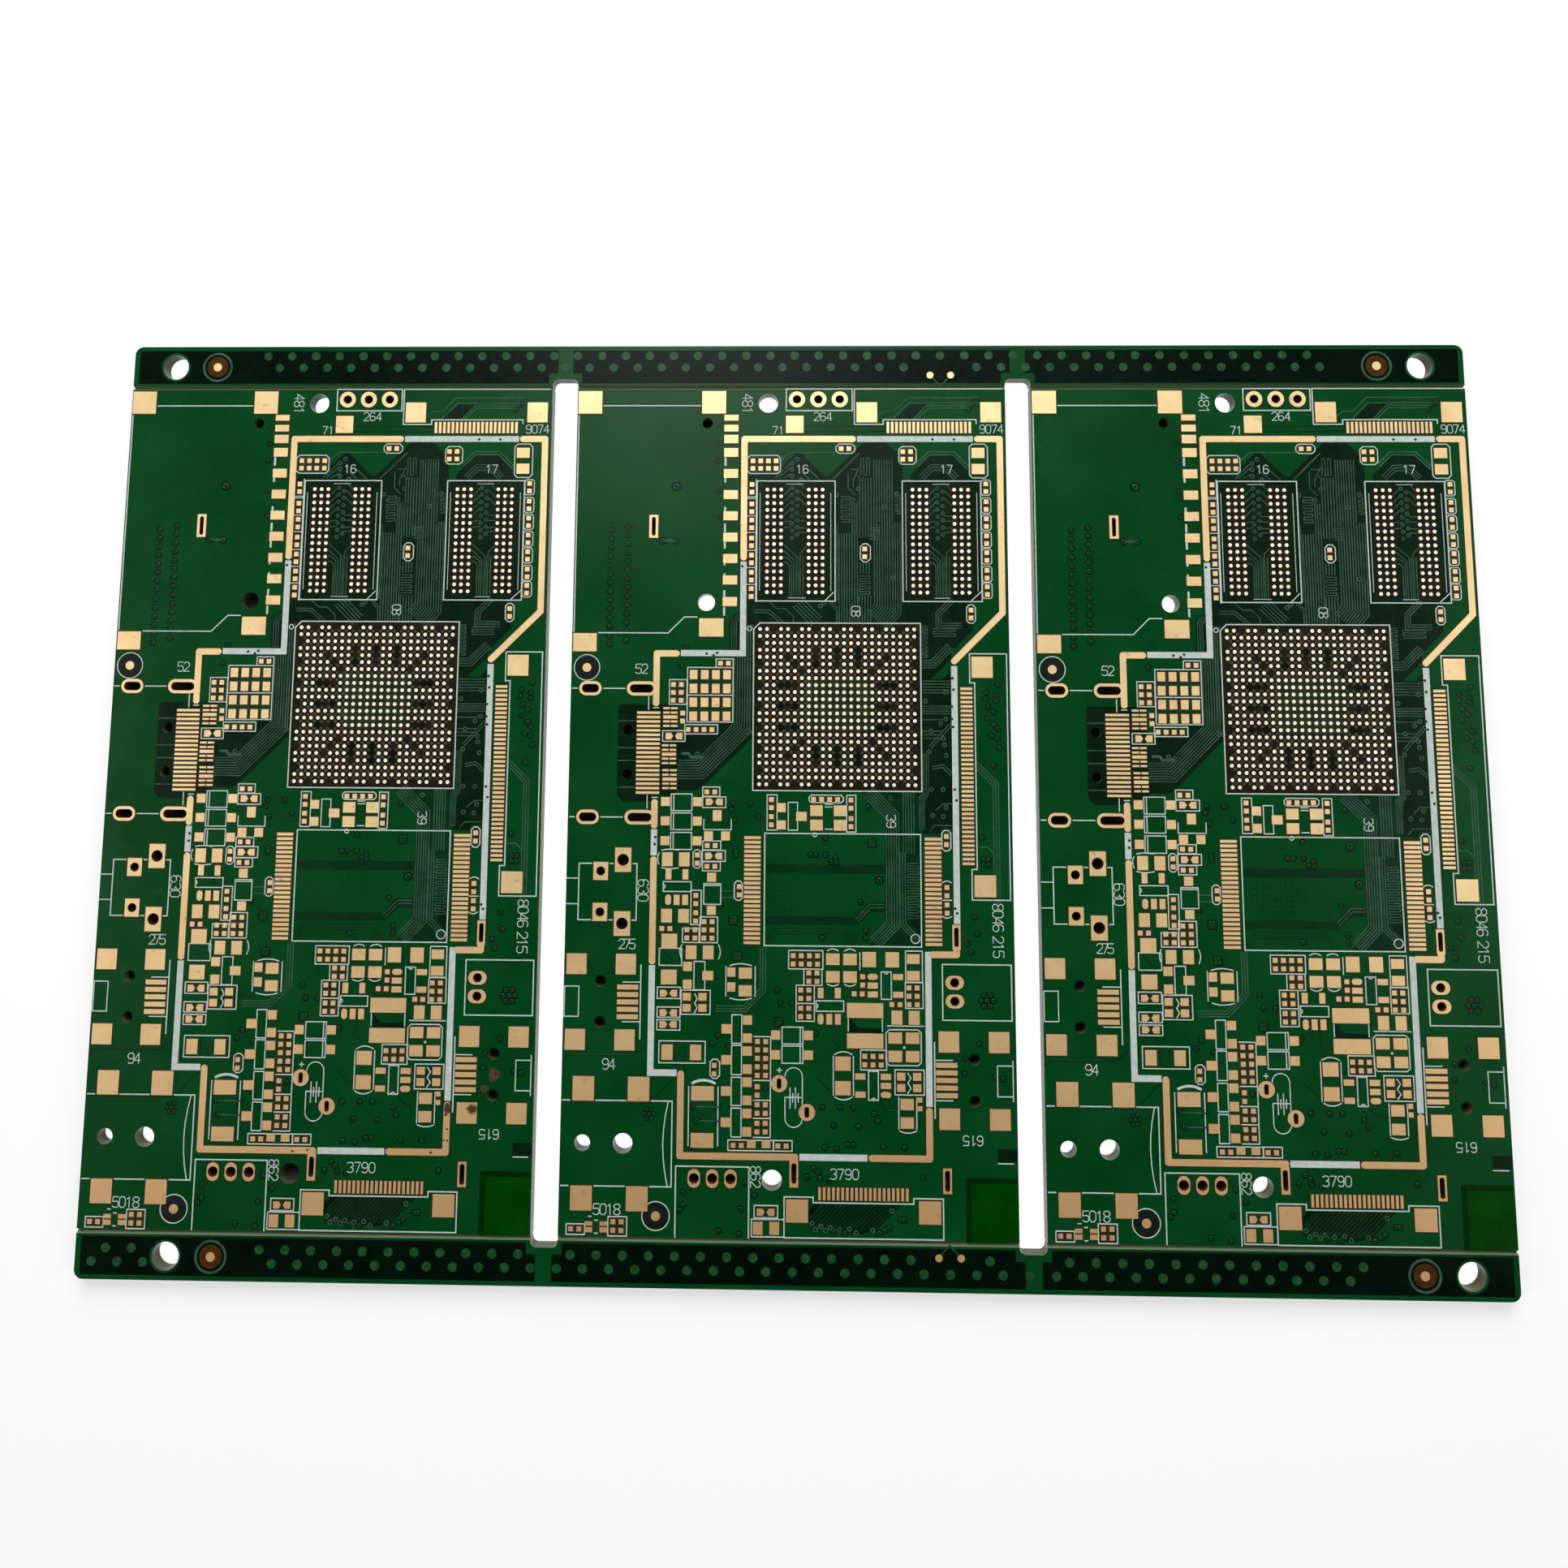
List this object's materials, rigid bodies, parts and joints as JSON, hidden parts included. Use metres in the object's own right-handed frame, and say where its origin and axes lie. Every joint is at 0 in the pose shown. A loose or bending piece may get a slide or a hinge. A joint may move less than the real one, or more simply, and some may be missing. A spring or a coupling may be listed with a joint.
{
  "type": "printed circuit board panel",
  "caption": "Bare green circuit board panel: like boards side by side between two break-off rails, with gold solder lands, plated holes, tooling holes and white ink marks.",
  "frame": {"origin": "middle of the panel's underside", "axes": "+X to the right along the rails, +Y to the upper rail, +Z out of the face that takes the components"},
  "size_m": [0.156, 0.105, 0.0016],
  "materials": {
    "green_mask": "semi-gloss",
    "dark_mask": "semi-gloss",
    "gold_copper": "satin",
    "white_ink": "matte"
  },
  "bodies": {
    "root": {"laminate_panel": "green_mask", "bare_mask": "dark_mask", "rail_mask": "dark_mask", "rail_lands": "gold_copper", "rail_dots": "green_mask", "left_processor_lands": "gold_copper", "left_memory_lands": "gold_copper", "left_flash_lands": "gold_copper", "left_card_socket_lands": "gold_copper", "left_video_socket_lands": "gold_copper", "left_protection_lands": "gold_copper", "left_ribbon_lands": "gold_copper", "left_side_connector_lands": "gold_copper", "left_jack_lands": "gold_copper", "left_chip_lands": "gold_copper", "left_capacitor_lands": "gold_copper", "left_diode_lands": "gold_copper", "left_transistor_lands": "gold_copper", "left_shield_track": "gold_copper", "left_plated_pin_holes": "gold_copper", "left_plated_slots": "gold_copper", "left_fiducials": "gold_copper", "left_ink_marks": "white_ink", "centre_processor_lands": "gold_copper", "centre_memory_lands": "gold_copper", "centre_flash_lands": "gold_copper", "centre_card_socket_lands": "gold_copper", "centre_video_socket_lands": "gold_copper", "centre_protection_lands": "gold_copper", "centre_ribbon_lands": "gold_copper", "centre_side_connector_lands": "gold_copper", "centre_jack_lands": "gold_copper", "centre_chip_lands": "gold_copper", "centre_capacitor_lands": "gold_copper", "centre_diode_lands": "gold_copper", "centre_transistor_lands": "gold_copper", "centre_shield_track": "gold_copper", "centre_plated_pin_holes": "gold_copper", "centre_plated_slots": "gold_copper", "centre_fiducials": "gold_copper", "centre_ink_marks": "white_ink", "right_processor_lands": "gold_copper", "right_memory_lands": "gold_copper", "right_flash_lands": "gold_copper", "right_card_socket_lands": "gold_copper", "right_video_socket_lands": "gold_copper", "right_protection_lands": "gold_copper", "right_ribbon_lands": "gold_copper", "right_side_connector_lands": "gold_copper", "right_jack_lands": "gold_copper", "right_chip_lands": "gold_copper", "right_capacitor_lands": "gold_copper", "right_diode_lands": "gold_copper", "right_transistor_lands": "gold_copper", "right_shield_track": "gold_copper", "right_plated_pin_holes": "gold_copper", "right_plated_slots": "gold_copper", "right_fiducials": "gold_copper", "right_ink_marks": "white_ink"}
  },
  "joints": []
}
